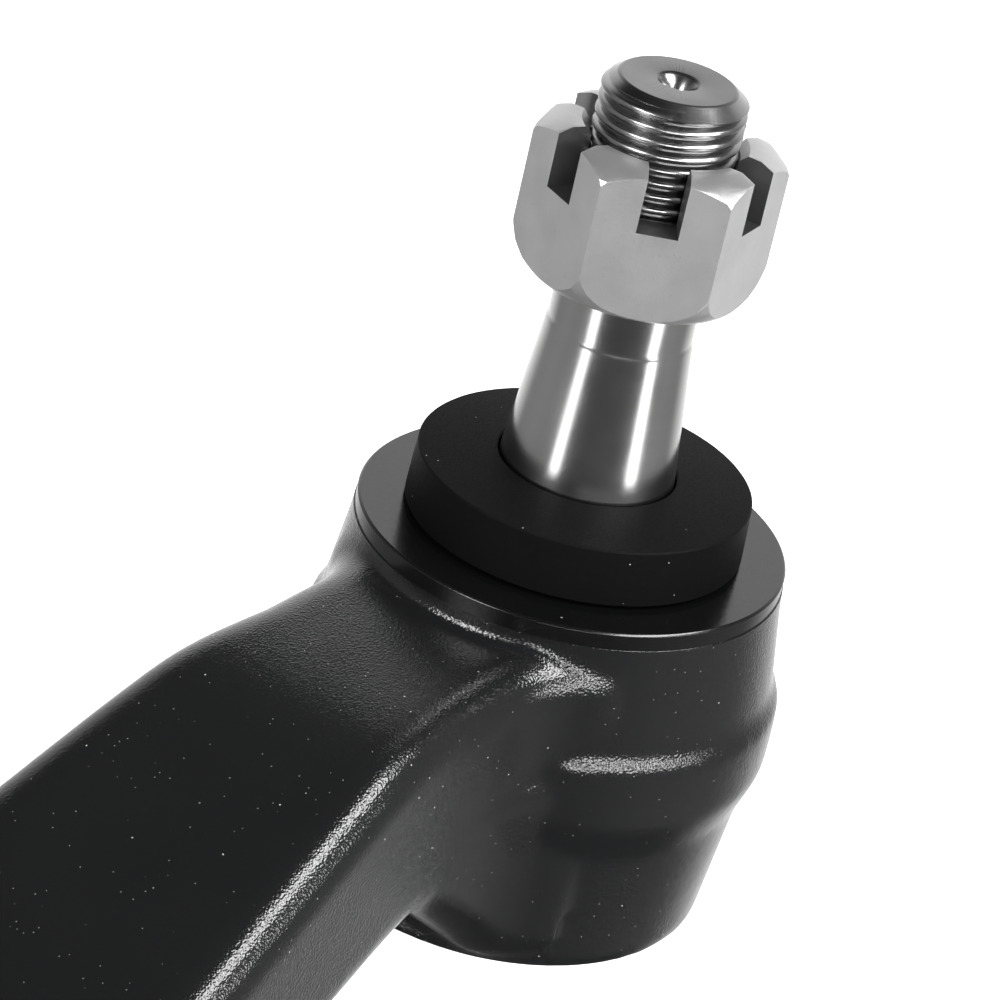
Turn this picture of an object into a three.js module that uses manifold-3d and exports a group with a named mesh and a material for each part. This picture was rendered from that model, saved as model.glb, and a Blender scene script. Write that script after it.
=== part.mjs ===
// Tie rod end with a swivelling tapered stud, a slotted hex nut and a forged arm.
// Millimetres, +Z up along the stud. The origin is the ball's centre and the arm runs out along +X.

import * as THREE from "three";
import { mergeVertices } from "three/addons/utils/BufferGeometryUtils.js";
import Module from "manifold-3d";

// ---------------------------------------------------------------- driving dimensions

const GAP = 0.3; // between two pieces that touch on the real part

// ball and the pieces that hold it
const BALL_R = 15;
const BALL_FLAT_CUT = 4; // taken off the ball's top and bottom
const TILT_DEG = 18; // how far the stud swivels from upright
const SEAT_WALL = 2.4; // bearing ring wall outside the ball
const UPPER_BEARING_H = 8.4;
const SEAT_TOP_Z = -4; // rim of the pressure seat
const SEAT_FLOOR = 1.5; // metal under the ball in the pressure seat
const SEAT_HOLE_R = 5;

// stud, from the housing's face upwards
const NECK_R = 8.25;
const NECK_FLARE_H = 2.5;
const TAPER_ABOVE_FACE = 5.5;
const TAPER_LENGTH = 19.5;
const TAPER_SLOPE = 1 / 10; // radius per length, which is a 1 in 5 taper on the diameter
const THREAD_R = 8; // also the plain collar over the taper
const THREAD_PITCH = 1.5;
const THREAD_DEPTH = 0.9;
const THREAD_PAST_NUT = 6;
const STUD_CHAMFER = 1.6;
const CENTRE_HOLE_R = 2.4;
const CENTRE_HOLE_DEPTH = 3.2;
const COTTER_HOLE_R = 2;

// slotted nut
const NUT_ACROSS_FLATS = 24;
const NUT_H = 17;
const NUT_ABOVE_TAPER = 5.5;
const SLOT_W = 4.5;
const SLOT_DEPTH = 6.8;
const SLOTS = 6;
const NUT_TURN_DEG = 7.5; // one corner of the hexagon, measured from the arm
const CROWN_INSET = 0.5; // from the hexagon's flats to the flat ring on its ends
const CROWN_ANGLE_DEG = 31;

// housing eye, its walls measured from the bearing bore
const EYE_ROOF = 8.5; // from the bore's top to the face
const EYE_WALL = 6;
const EYE_LOW_WALL = 7.7; // where the side wall reaches the belt
const LIP_H = 2; // machined band under the face
const BELT_WALL = 8.9;
const BELT_Z = -3.5;
const BELT_HALF_H = 2;
const BELT_TO_WALL_H = 5;
const BOSS_WALL = 7;
const BOSS_LOW_WALL = 5.8;
const BASE_ROUND = 3;
const NECK_CLEARANCE = 0.84; // round the tilted stud, at the throat's top
const BALL_CLEARANCE = 0.53; // round the ball's seat, at the throat's bottom

// cover under the housing
const COVER_RECESS_WALL = 1.5; // the recess is this much wider than the bore
const COVER_T = 2.5;
const COVER_DISH = 0.9;
const RIM_T = 0.9; // rolled rim that holds the cover in
const RIM_GRIP = 1.2;
const SPRING_T = 1.1;
const SPRING_H = 4.9; // of the coned washer, over all
const SPRING_IN_R = 8;

// grease fitting in the cover
const FITTING_HEX = 8;
const FITTING_HEX_H = 3;
const FITTING_THREAD_R = 3;
const FITTING_NOSE_H = 6;
const FITTING_NOSE_R = 3.25;
const FITTING_NECK_R = 2.4;
const FITTING_MOUTH_R = 0.9;
const CHECK_BALL_R = 1.3;
const CHECK_BALL_PLAY = 0.45; // round the ball, in the fitting's bore
const FITTING_WIRE_R = 0.22;
const FITTING_COILS = 5;

// dust seal
const SEAL_LANDING = 3.7; // width of its foot outside the throat
const SEAL_TOP_INSET = 0.25;
const SEAL_PLAY = 0.65; // round the stud's taper
const SEAL_H = 6.6; // at its rim
const SEAL_CROWN = 0.9; // how far it rises from the rim to the bore

// forged arm
const ARM_SLOPE_DEG = 25.3;
const ARM_LINE_ABOVE_FACE = 17.7; // the arm's top line, run back to the stud's axis
const SHOULDER_BELOW_FACE = 4.2;
const SHOULDER_FALL = 0.06; // per length, going out
const SHOULDER_START_X = 32;
const CREST_BLEND = 2.2;
const ARM_DEPTH = 28.7; // upright depth where the neck ends
const ARM_DEPTH_LOSS = 0.06; // per length, going out
const NECK_X = 36;
const NECK_HALF_W = 14.9;
const ARM_FLARE = 0.111; // half width gained per length
const ARM_WIDEST_X = 88;
const ARM_END_X = 126;
const ARM_CORNER_R = 7;
const NECK_FILLET_R = 12;
const HEEL_RISE = 0.9; // slope of the web under the neck
const HEEL_BLEND = 4;

// threaded shank
const SHANK_R = 12;
const SHANK_COLLAR_STEP = 2; // the collar stands out from the thread by this much
const SHANK_LENGTH = 60;
const SHANK_CHAMFER = 1.8;

// facets
const ROUND = 44;
const FINE = 32;
const SMALL = 14;

// ---------------------------------------------------------------- helpers

const wasm = await Module();
wasm.setup();

const v2 = (r, z) => new THREE.Vector2(r, z);
const radians = THREE.MathUtils.degToRad;

function toSolid(geometry) {
  const bare = geometry.clone();
  bare.deleteAttribute("normal");
  bare.deleteAttribute("uv");
  const merged = mergeVertices(bare, 1e-4);
  return new wasm.Manifold(
    new wasm.Mesh({
      numProp: 3,
      vertProperties: new Float32Array(merged.attributes.position.array),
      triVerts: new Uint32Array(merged.index.array),
    }),
  );
}

function toGeometry(solid) {
  const mesh = solid.getMesh();
  const geometry = new THREE.BufferGeometry();
  geometry.setAttribute("position", new THREE.BufferAttribute(mesh.vertProperties, 3));
  geometry.setIndex(new THREE.BufferAttribute(mesh.triVerts, 1));
  geometry.computeVertexNormals();
  return geometry;
}

// A turned shape about Z. Points run from the bottom to the top on the outside.
function turned(points, segments = ROUND) {
  return new THREE.LatheGeometry(points, segments).rotateX(Math.PI / 2);
}

// An arc of a circle as profile points, angles in degrees from the +radius direction.
function arc(centreR, centreZ, radius, fromDeg, toDeg, steps) {
  const points = [];
  for (let i = 0; i <= steps; i++) {
    const a = radians(fromDeg + ((toDeg - fromDeg) * i) / steps);
    points.push(v2(centreR + radius * Math.cos(a), centreZ + radius * Math.sin(a)));
  }
  return points;
}

function hexPrism(acrossFlats, height) {
  const corner = acrossFlats / 2 / Math.cos(Math.PI / 6);
  return new THREE.CylinderGeometry(corner, corner, height, 6).rotateX(Math.PI / 2).rotateZ(Math.PI / 2);
}

// Joins rings of the same number of points into one closed skin with flat ends.
function loft(rings) {
  const count = rings[0].length;
  const positions = rings.flat().flatMap((p) => [p.x, p.y, p.z]);
  const index = [];
  for (let k = 0; k + 1 < rings.length; k++) {
    for (let i = 0; i < count; i++) {
      const a = k * count + i;
      const b = k * count + ((i + 1) % count);
      index.push(a, b, b + count, a, b + count, a + count);
    }
  }
  const last = (rings.length - 1) * count;
  for (let i = 1; i + 1 < count; i++) {
    index.push(0, i + 1, i);
    index.push(last, last + i, last + i + 1);
  }
  const geometry = new THREE.BufferGeometry();
  geometry.setAttribute("position", new THREE.Float32BufferAttribute(positions, 3));
  geometry.setIndex(index);
  return geometry;
}

// The lower of two lines, with the corner between them rounded.
function roundedMin(a, b, blend) {
  return (a + b - Math.sqrt((a - b) ** 2 + blend ** 2)) / 2;
}

function material(color, roughness, metalness) {
  return new THREE.MeshStandardMaterial({ color, roughness, metalness });
}

function named(name, geometry, look) {
  const mesh = new THREE.Mesh(geometry, look);
  mesh.name = name;
  return mesh;
}

// ---------------------------------------------------------------- sizes worked out from the ones above

const SEAT_R = BALL_R + GAP;
const RING_R = SEAT_R + SEAT_WALL;
const BORE_R = RING_R + GAP;
const BORE_TOP_Z = UPPER_BEARING_H + 2 * GAP;
const FACE_Z = BORE_TOP_Z + EYE_ROOF;
const BALL_FLAT_Z = BALL_R - BALL_FLAT_CUT;
const BALL_FLAT_R = Math.sqrt(BALL_R ** 2 - BALL_FLAT_Z ** 2);
const TILT = radians(TILT_DEG);
const THROAT_LOW_R = Math.sqrt(SEAT_R ** 2 - BORE_TOP_Z ** 2) + BALL_CLEARANCE;
const THROAT_TOP_R = FACE_Z * Math.tan(TILT) + NECK_R / Math.cos(TILT) + NECK_CLEARANCE;

const EYE_R = BORE_R + EYE_WALL;
const EYE_LOW_R = BORE_R + EYE_LOW_WALL;
const BELT_R = BORE_R + BELT_WALL;
const BOSS_R = BORE_R + BOSS_WALL;
const BOSS_LOW_R = BORE_R + BOSS_LOW_WALL;

// the stack under the ball, from the pressure seat down to the base
const SEAT_BOTTOM_Z = -SEAT_R - SEAT_FLOOR;
const SPRING_TOP_Z = SEAT_BOTTOM_Z - GAP;
const SPRING_LOW_Z = SPRING_TOP_Z - SPRING_H;
const COVER_TOP_Z = SPRING_LOW_Z - GAP;
const COVER_BOTTOM_Z = COVER_TOP_Z - COVER_T;
const BASE_Z = COVER_BOTTOM_Z - GAP - RIM_T;
const RECESS_TOP_Z = COVER_TOP_Z + GAP;
const RECESS_R = BORE_R + COVER_RECESS_WALL;
const COVER_R = RECESS_R - GAP;
const RIM_IN_R = RECESS_R - RIM_GRIP;

// the stack over the face
const TAPER_START_Z = FACE_Z + TAPER_ABOVE_FACE;
const TAPER_TOP_Z = TAPER_START_Z + TAPER_LENGTH;
const TAPER_START_R = THREAD_R + TAPER_LENGTH * TAPER_SLOPE;
const NUT_BOTTOM_Z = TAPER_TOP_Z + NUT_ABOVE_TAPER;
const NUT_TOP_Z = NUT_BOTTOM_Z + NUT_H;
const STUD_TOP_Z = NUT_TOP_Z + THREAD_PAST_NUT;
const NUT_BORE_R = THREAD_R + GAP;
const CROWN_R = NUT_ACROSS_FLATS / 2 - CROWN_INSET;
const SLOT_BOTTOM_Z = NUT_TOP_Z - SLOT_DEPTH;
const SLOT_TURN_DEG = NUT_TURN_DEG + 180 / SLOTS;
const SEAL_R = THROAT_TOP_R + SEAL_LANDING;
const SEAL_TOP_R = SEAL_R - SEAL_TOP_INSET;
const SEAL_BORE_R = TAPER_START_R + SEAL_PLAY;

const SLOPE = Math.tan(radians(ARM_SLOPE_DEG));
const SHOULDER_Z = FACE_Z - SHOULDER_BELOW_FACE;
const ARM_TOP_AT_AXIS = FACE_Z + ARM_LINE_ABOVE_FACE;
const SHANK_COLLAR_R = SHANK_R + SHANK_COLLAR_STEP;

// ---------------------------------------------------------------- forged housing with its arm

function eyeSolid() {
  const beltTop = BELT_Z + BELT_HALF_H;
  const beltLow = BELT_Z - BELT_HALF_H;
  const outline = [
    v2(0, BASE_Z),
    ...arc(BOSS_LOW_R - BASE_ROUND, BASE_Z + BASE_ROUND, BASE_ROUND, -90, 0, 4),
    v2(BOSS_R, beltLow - BELT_TO_WALL_H - 1.5),
    v2(BOSS_R + 0.3, beltLow - BELT_TO_WALL_H + 0.5),
    v2(BELT_R - 0.4, beltLow - 1),
    v2(BELT_R, beltLow),
    v2(BELT_R, beltTop),
    v2(BELT_R - 0.4, beltTop + 1),
    v2(EYE_LOW_R, beltTop + BELT_TO_WALL_H),
    v2(EYE_R + 0.1, FACE_Z - LIP_H),
    v2(EYE_R, FACE_Z - LIP_H),
    v2(EYE_R, FACE_Z),
    v2(0, FACE_Z),
  ];
  return toSolid(turned(outline));
}

// Everything inside the eye that is open: throat, bearing bore, cover recess and rolled rim.
function socketSolid() {
  const past = 1;
  const outline = [
    v2(0, BASE_Z - past),
    v2(RIM_IN_R, BASE_Z - past),
    v2(RIM_IN_R, BASE_Z + RIM_T),
    v2(RECESS_R, BASE_Z + RIM_T),
    v2(RECESS_R, RECESS_TOP_Z),
    v2(BORE_R, RECESS_TOP_Z),
    v2(BORE_R, BORE_TOP_Z),
    v2(THROAT_LOW_R, BORE_TOP_Z),
    v2(THROAT_TOP_R, FACE_Z),
    v2(THROAT_TOP_R, FACE_Z + past),
    v2(0, FACE_Z + past),
  ];
  return toSolid(turned(outline));
}

function armTopZ(x) {
  const shoulder = SHOULDER_Z - SHOULDER_FALL * (x - SHOULDER_START_X);
  return roundedMin(shoulder, ARM_TOP_AT_AXIS - SLOPE * x, CREST_BLEND);
}

function armDepth(x) {
  return ARM_DEPTH - ARM_DEPTH_LOSS * (x - NECK_X);
}

function armBottomZ(x) {
  const underside = ARM_TOP_AT_AXIS - SLOPE * x - armDepth(x);
  const heel = BASE_Z + BASE_ROUND + HEEL_RISE * Math.max(0, x - BOSS_LOW_R + BASE_ROUND);
  return roundedMin(underside, heel, HEEL_BLEND);
}

// Half width: a fillet from the eye, then a straight flare, then drawn in to the shank.
function armHalfWidth(x) {
  const filletY = NECK_HALF_W + NECK_FILLET_R;
  const filletX = Math.sqrt((EYE_LOW_R + NECK_FILLET_R) ** 2 - filletY ** 2);
  if (x < filletX) {
    const reach = Math.min(filletX - x, NECK_FILLET_R * 0.72);
    return filletY - Math.sqrt(NECK_FILLET_R ** 2 - reach ** 2);
  }
  const flared = NECK_HALF_W + ARM_FLARE * Math.max(0, Math.min(x, ARM_WIDEST_X) - NECK_X);
  const t = THREE.MathUtils.smoothstep(x, ARM_WIDEST_X, ARM_END_X);
  return THREE.MathUtils.lerp(flared, SHANK_COLLAR_R, t);
}

// One upright section of the arm: a rounded rectangle, with 4 corners of CORNER_STEPS facets.
function armSection(x) {
  const CORNER_STEPS = 5;
  const t = THREE.MathUtils.smoothstep(x, ARM_WIDEST_X, ARM_END_X);
  const halfW = armHalfWidth(x);
  const midZ = (armTopZ(x) + armBottomZ(x)) / 2;
  const shankHalfH = SHANK_COLLAR_R / Math.cos(radians(ARM_SLOPE_DEG));
  const halfH = THREE.MathUtils.lerp((armTopZ(x) - armBottomZ(x)) / 2, shankHalfH, t);
  const corner = THREE.MathUtils.lerp(ARM_CORNER_R, SHANK_COLLAR_R - 0.01, t);
  const ring = [];
  for (let q = 0; q < 4; q++) {
    const sideY = q === 0 || q === 3 ? 1 : -1;
    const sideZ = q < 2 ? 1 : -1;
    for (let i = 0; i <= CORNER_STEPS; i++) {
      const a = Math.PI / 2 * (q + i / CORNER_STEPS);
      const y = sideY * (halfW - corner) + corner * Math.cos(a);
      const z = sideZ * (halfH - corner) + corner * Math.sin(a);
      ring.push(new THREE.Vector3(x, y, midZ + z));
    }
  }
  return ring;
}

function armSolid() {
  const INNER_X = 16;
  const NECK_STEP = 2;
  const BEAM_STEP = 6;
  const rings = [];
  for (let x = INNER_X; x < ARM_END_X; x += x < NECK_X + 16 ? NECK_STEP : BEAM_STEP) {
    rings.push(armSection(x));
  }
  rings.push(armSection(ARM_END_X));
  return toSolid(loft(rings));
}

// Where the shank's axis leaves the arm.
function shankStart() {
  const midZ = (armTopZ(ARM_END_X) + armBottomZ(ARM_END_X)) / 2;
  return new THREE.Vector3(ARM_END_X, 0, midZ);
}

function shankSolid() {
  const BURIED = 12;
  const STEP_DOWN = 3; // cone between the collar and the thread
  const collarEnd = SHANK_COLLAR_R * SLOPE + 1;
  const outline = [
    v2(0, -BURIED),
    v2(SHANK_COLLAR_R - 0.5, -BURIED),
    v2(SHANK_COLLAR_R, 0),
    v2(SHANK_COLLAR_R, collarEnd),
    v2(SHANK_R, collarEnd + STEP_DOWN),
    v2(SHANK_R, SHANK_LENGTH - SHANK_CHAMFER),
    v2(SHANK_R - SHANK_CHAMFER, SHANK_LENGTH),
    v2(0, SHANK_LENGTH),
  ];
  const start = shankStart();
  const shape = turned(outline, FINE);
  shape.rotateY(Math.PI / 2 + radians(ARM_SLOPE_DEG));
  shape.translate(start.x, start.y, start.z);
  return toSolid(shape);
}

function housingForging() {
  const forged = eyeSolid().add(armSolid()).add(shankSolid());
  return toGeometry(forged.subtract(socketSolid()));
}

// ---------------------------------------------------------------- pieces in the socket

// A ring whose inside is the ball's seat, from one height to another.
function seatRing(lowZ, highZ) {
  const STEPS = 6;
  const angle = (z) => THREE.MathUtils.radToDeg(Math.asin(z / SEAT_R));
  const inside = arc(0, 0, SEAT_R, angle(highZ), angle(lowZ), STEPS);
  return [v2(RING_R, lowZ), v2(RING_R, highZ), ...inside, v2(RING_R, lowZ)];
}

function upperBearing() {
  return turned(seatRing(GAP, GAP + UPPER_BEARING_H));
}

function pressureSeat() {
  const STEPS = 6;
  const holeDeg = THREE.MathUtils.radToDeg(Math.acos(SEAT_HOLE_R / SEAT_R));
  const topDeg = THREE.MathUtils.radToDeg(Math.asin(SEAT_TOP_Z / SEAT_R));
  const outline = [
    v2(SEAT_HOLE_R, SEAT_BOTTOM_Z),
    v2(RING_R, SEAT_BOTTOM_Z),
    v2(RING_R, SEAT_TOP_Z),
    ...arc(0, 0, SEAT_R, topDeg, -holeDeg, STEPS),
    v2(SEAT_HOLE_R, SEAT_BOTTOM_Z),
  ];
  return turned(outline);
}

function halfBall() {
  const STEPS = 6;
  const lowDeg = THREE.MathUtils.radToDeg(Math.asin(GAP / BALL_R));
  const highDeg = THREE.MathUtils.radToDeg(Math.asin(BALL_FLAT_Z / BALL_R));
  const boreR = NECK_R + GAP;
  const outline = [
    v2(boreR, GAP),
    ...arc(0, 0, BALL_R, lowDeg, highDeg, STEPS),
    v2(boreR, BALL_FLAT_Z),
    v2(boreR, GAP),
  ];
  return turned(outline);
}

// A shallow cone washer between the pressure seat and the cover.
function discSpring() {
  const outR = BORE_R - 2 * GAP;
  const outline = [
    v2(SPRING_IN_R, SPRING_TOP_Z - SPRING_T),
    v2(outR, SPRING_LOW_Z),
    v2(outR, SPRING_LOW_Z + SPRING_T),
    v2(SPRING_IN_R, SPRING_TOP_Z),
    v2(SPRING_IN_R, SPRING_TOP_Z - SPRING_T),
  ];
  return turned(outline, FINE);
}

function coverPlate() {
  const holeR = FITTING_THREAD_R + GAP;
  const dishR = RIM_IN_R - GAP;
  const outline = [
    v2(holeR, COVER_BOTTOM_Z - COVER_DISH),
    v2(dishR - 2 * COVER_DISH, COVER_BOTTOM_Z - COVER_DISH),
    v2(dishR, COVER_BOTTOM_Z),
    v2(COVER_R, COVER_BOTTOM_Z),
    v2(COVER_R, COVER_TOP_Z),
    v2(dishR, COVER_TOP_Z),
    v2(dishR - 2 * COVER_DISH, COVER_TOP_Z - COVER_DISH),
    v2(holeR, COVER_TOP_Z - COVER_DISH),
    v2(holeR, COVER_BOTTOM_Z - COVER_DISH),
  ];
  return turned(outline);
}

// ---------------------------------------------------------------- grease fitting

const FITTING_SEAT_Z = COVER_BOTTOM_Z - COVER_DISH - GAP;
const FITTING_TIP_Z = FITTING_SEAT_Z - FITTING_HEX_H - FITTING_NOSE_H;
const FITTING_TOP_Z = COVER_TOP_Z - COVER_DISH;
const CHECK_BALL_Z = FITTING_TIP_Z + 2.4;
const FITTING_BORE_R = CHECK_BALL_R + CHECK_BALL_PLAY;

function greaseFitting() {
  const nose = [
    v2(0, FITTING_TIP_Z),
    v2(FITTING_MOUTH_R + 0.8, FITTING_TIP_Z),
    v2(FITTING_NOSE_R, FITTING_TIP_Z + 1.8),
    v2(FITTING_NOSE_R, FITTING_TIP_Z + 2.6),
    v2(FITTING_NECK_R, FITTING_TIP_Z + 3.8),
    v2(FITTING_NECK_R, FITTING_TIP_Z + FITTING_NOSE_H),
    v2(FITTING_THREAD_R, FITTING_SEAT_Z),
    v2(FITTING_THREAD_R, FITTING_TOP_Z),
    v2(0, FITTING_TOP_Z),
  ];
  const past = 1;
  const bore = [
    v2(0, FITTING_TIP_Z - past),
    v2(FITTING_MOUTH_R, FITTING_TIP_Z - past),
    v2(FITTING_MOUTH_R, FITTING_TIP_Z + 0.6),
    v2(FITTING_BORE_R, FITTING_TIP_Z + 1.5),
    v2(FITTING_BORE_R, FITTING_TOP_Z + past),
    v2(0, FITTING_TOP_Z + past),
  ];
  const hex = hexPrism(FITTING_HEX, FITTING_HEX_H);
  hex.translate(0, 0, FITTING_SEAT_Z - FITTING_HEX_H / 2);
  const body = toSolid(turned(nose, FINE)).add(toSolid(hex));
  return toGeometry(body.subtract(toSolid(turned(bore, SMALL))));
}

function checkBall() {
  return new THREE.SphereGeometry(CHECK_BALL_R, SMALL, SMALL / 2).translate(0, 0, CHECK_BALL_Z);
}

// The small coil spring behind the check ball.
class Coil extends THREE.Curve {
  constructor(radius, lowZ, highZ, turns) {
    super();
    Object.assign(this, { radius, lowZ, highZ, turns });
  }

  getPoint(t, target = new THREE.Vector3()) {
    const a = t * this.turns * 2 * Math.PI;
    const z = THREE.MathUtils.lerp(this.lowZ, this.highZ, t);
    return target.set(this.radius * Math.cos(a), this.radius * Math.sin(a), z);
  }
}

function fittingSpring() {
  const SIDES = 6;
  const STEPS_PER_COIL = 10;
  const coilR = FITTING_BORE_R - FITTING_WIRE_R - GAP;
  const low = CHECK_BALL_Z + CHECK_BALL_R + FITTING_WIRE_R + GAP;
  const high = FITTING_TOP_Z - FITTING_WIRE_R;
  const wire = new THREE.Shape().absarc(0, 0, FITTING_WIRE_R, 0, 2 * Math.PI);
  return new THREE.ExtrudeGeometry(wire, {
    curveSegments: SIDES,
    steps: STEPS_PER_COIL * FITTING_COILS,
    bevelEnabled: false,
    extrudePath: new Coil(coilR, low, high, FITTING_COILS),
  });
}

// ---------------------------------------------------------------- stud, seal and nut

// Ridges of the exposed thread, from the nut's top to the chamfer.
function threadPoints() {
  const points = [];
  const top = STUD_TOP_Z - STUD_CHAMFER;
  for (let z = NUT_TOP_Z; z + THREAD_PITCH <= top; z += THREAD_PITCH) {
    points.push(v2(THREAD_R, z + THREAD_PITCH * 0.1));
    points.push(v2(THREAD_R - THREAD_DEPTH, z + THREAD_PITCH * 0.5));
    points.push(v2(THREAD_R, z + THREAD_PITCH * 0.9));
  }
  return points;
}

function ballStud() {
  const STEPS = 6;
  const headLowDeg = -THREE.MathUtils.radToDeg(Math.asin(BALL_FLAT_Z / BALL_R));
  const outline = [
    v2(0, -BALL_FLAT_Z),
    v2(BALL_FLAT_R, -BALL_FLAT_Z),
    ...arc(0, 0, BALL_R, headLowDeg, 0, STEPS).slice(1),
    v2(NECK_R, 0),
    v2(NECK_R, TAPER_START_Z - NECK_FLARE_H),
    v2(TAPER_START_R, TAPER_START_Z),
    v2(THREAD_R, TAPER_TOP_Z),
    v2(THREAD_R, NUT_BOTTOM_Z + 1),
    v2(THREAD_R - 0.1, NUT_BOTTOM_Z + 2),
    v2(THREAD_R - 0.1, NUT_TOP_Z - 0.5),
    ...threadPoints(),
    v2(THREAD_R, STUD_TOP_Z - STUD_CHAMFER),
    v2(THREAD_R - STUD_CHAMFER, STUD_TOP_Z),
    v2(0, STUD_TOP_Z),
  ];
  const centreHole = new THREE.ConeGeometry(CENTRE_HOLE_R, CENTRE_HOLE_DEPTH, SMALL);
  centreHole.rotateX(-Math.PI / 2);
  centreHole.translate(0, 0, STUD_TOP_Z - CENTRE_HOLE_DEPTH / 2 + 0.01);
  const cotterHole = new THREE.CylinderGeometry(COTTER_HOLE_R, COTTER_HOLE_R, 3 * THREAD_R, SMALL);
  cotterHole.rotateZ(radians(SLOT_TURN_DEG - 360 / SLOTS) + Math.PI / 2);
  cotterHole.translate(0, 0, SLOT_BOTTOM_Z + COTTER_HOLE_R + GAP);
  const body = toSolid(turned(outline)).subtract(toSolid(centreHole));
  return toGeometry(body.subtract(toSolid(cotterHole)));
}

function dustSeal() {
  const baseZ = FACE_Z + GAP;
  const outline = [
    v2(SEAL_BORE_R, baseZ),
    v2(SEAL_R - 0.4, baseZ),
    v2(SEAL_R, baseZ + 0.4),
    v2(SEAL_TOP_R, baseZ + SEAL_H - 0.4),
    v2(SEAL_TOP_R - 0.4, baseZ + SEAL_H),
    v2(SEAL_BORE_R, baseZ + SEAL_H + SEAL_CROWN),
    v2(SEAL_BORE_R, baseZ),
  ];
  return turned(outline);
}

// The hexagon's ends are cut back by a cone, which leaves a round crown.
function crownedHexagon() {
  const past = NUT_ACROSS_FLATS;
  const drop = (past - CROWN_R) * Math.tan(radians(CROWN_ANGLE_DEG));
  const outline = [
    v2(0, -NUT_H / 2),
    v2(CROWN_R, -NUT_H / 2),
    v2(past, -NUT_H / 2 + drop),
    v2(past, NUT_H / 2 - drop),
    v2(CROWN_R, NUT_H / 2),
    v2(0, NUT_H / 2),
  ];
  const envelope = toSolid(turned(outline, 2 * FINE));
  return envelope.intersect(toSolid(hexPrism(NUT_ACROSS_FLATS, NUT_H)));
}

function castleNut() {
  const bore = new THREE.CylinderGeometry(NUT_BORE_R, NUT_BORE_R, 2 * NUT_H, FINE).rotateX(Math.PI / 2);
  let nut = crownedHexagon().subtract(toSolid(bore));
  const past = 2;
  for (let i = 0; i < SLOTS / 2; i++) {
    const slot = new THREE.BoxGeometry(2 * NUT_ACROSS_FLATS, SLOT_W, SLOT_DEPTH + past);
    slot.rotateZ(radians(180 / SLOTS + (i * 360) / SLOTS));
    slot.translate(0, 0, NUT_H / 2 - SLOT_DEPTH / 2 + past / 2);
    nut = nut.subtract(toSolid(slot));
  }
  const shape = toGeometry(nut);
  shape.rotateZ(radians(NUT_TURN_DEG));
  return shape.translate(0, 0, NUT_TOP_Z - NUT_H / 2);
}

// ---------------------------------------------------------------- the whole part

const blackCoat = material(0x16181a, 0.35, 0.2);
const steel = material(0xb0b2b4, 0.25, 1);
const zinc = material(0xc4c6c8, 0.35, 1);
const darkSteel = material(0x55585a, 0.45, 0.9);
const springSteel = material(0x3c3e42, 0.4, 0.9);
const bronze = material(0x8a7350, 0.5, 0.8);
const rubber = material(0x101112, 0.85, 0);

const tieRodEnd = new THREE.Group();
tieRodEnd.add(
  named("housing_forging", housingForging(), blackCoat),
  named("upper_bearing", upperBearing(), bronze),
  named("half_ball", halfBall(), darkSteel),
  named("pressure_seat", pressureSeat(), bronze),
  named("disc_spring", discSpring(), springSteel),
  named("cover_plate", coverPlate(), blackCoat),
  named("grease_fitting", greaseFitting(), zinc),
  named("fitting_check_ball", checkBall(), steel),
  named("fitting_spring", fittingSpring(), springSteel),
  named("ball_stud", ballStud(), steel),
  named("dust_seal", dustSeal(), rubber),
  named("castle_nut", castleNut(), zinc),
);

export default tieRodEnd;
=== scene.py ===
"""Tie rod end: forged housing and arm, dust seal, tapered stud, slotted nut. Metres, +Z up along the stud."""

import math

import bpy
from mathutils import Matrix, Vector


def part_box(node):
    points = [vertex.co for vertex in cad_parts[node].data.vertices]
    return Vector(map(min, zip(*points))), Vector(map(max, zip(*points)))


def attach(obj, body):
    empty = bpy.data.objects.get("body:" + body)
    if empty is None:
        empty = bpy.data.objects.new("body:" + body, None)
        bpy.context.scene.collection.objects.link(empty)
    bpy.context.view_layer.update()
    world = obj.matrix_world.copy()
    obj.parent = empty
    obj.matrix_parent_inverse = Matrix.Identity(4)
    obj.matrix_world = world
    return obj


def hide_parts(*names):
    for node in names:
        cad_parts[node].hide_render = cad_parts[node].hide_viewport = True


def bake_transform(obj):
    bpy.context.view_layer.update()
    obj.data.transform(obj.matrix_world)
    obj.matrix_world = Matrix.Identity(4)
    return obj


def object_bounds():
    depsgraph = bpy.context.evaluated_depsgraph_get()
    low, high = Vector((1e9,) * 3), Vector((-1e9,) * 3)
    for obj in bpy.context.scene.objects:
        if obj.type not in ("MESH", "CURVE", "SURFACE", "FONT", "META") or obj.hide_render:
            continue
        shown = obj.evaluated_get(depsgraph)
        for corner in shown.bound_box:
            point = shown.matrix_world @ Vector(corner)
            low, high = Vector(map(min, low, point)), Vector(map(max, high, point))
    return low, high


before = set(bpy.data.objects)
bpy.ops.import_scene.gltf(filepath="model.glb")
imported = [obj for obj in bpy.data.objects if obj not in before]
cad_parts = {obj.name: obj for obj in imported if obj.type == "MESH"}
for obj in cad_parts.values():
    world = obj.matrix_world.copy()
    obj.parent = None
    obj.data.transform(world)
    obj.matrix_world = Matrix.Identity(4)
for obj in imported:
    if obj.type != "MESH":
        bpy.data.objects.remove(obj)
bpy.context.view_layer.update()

MM = 0.001

# ---------------------------------------------------------------- sizes, in millimetres, taken from the frame

LOW, HIGH = 0, 1


def size_of(node, corner, axis):
    """One coordinate of a CAD node's box, in millimetres."""
    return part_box(node)[corner][axis] / MM


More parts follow.
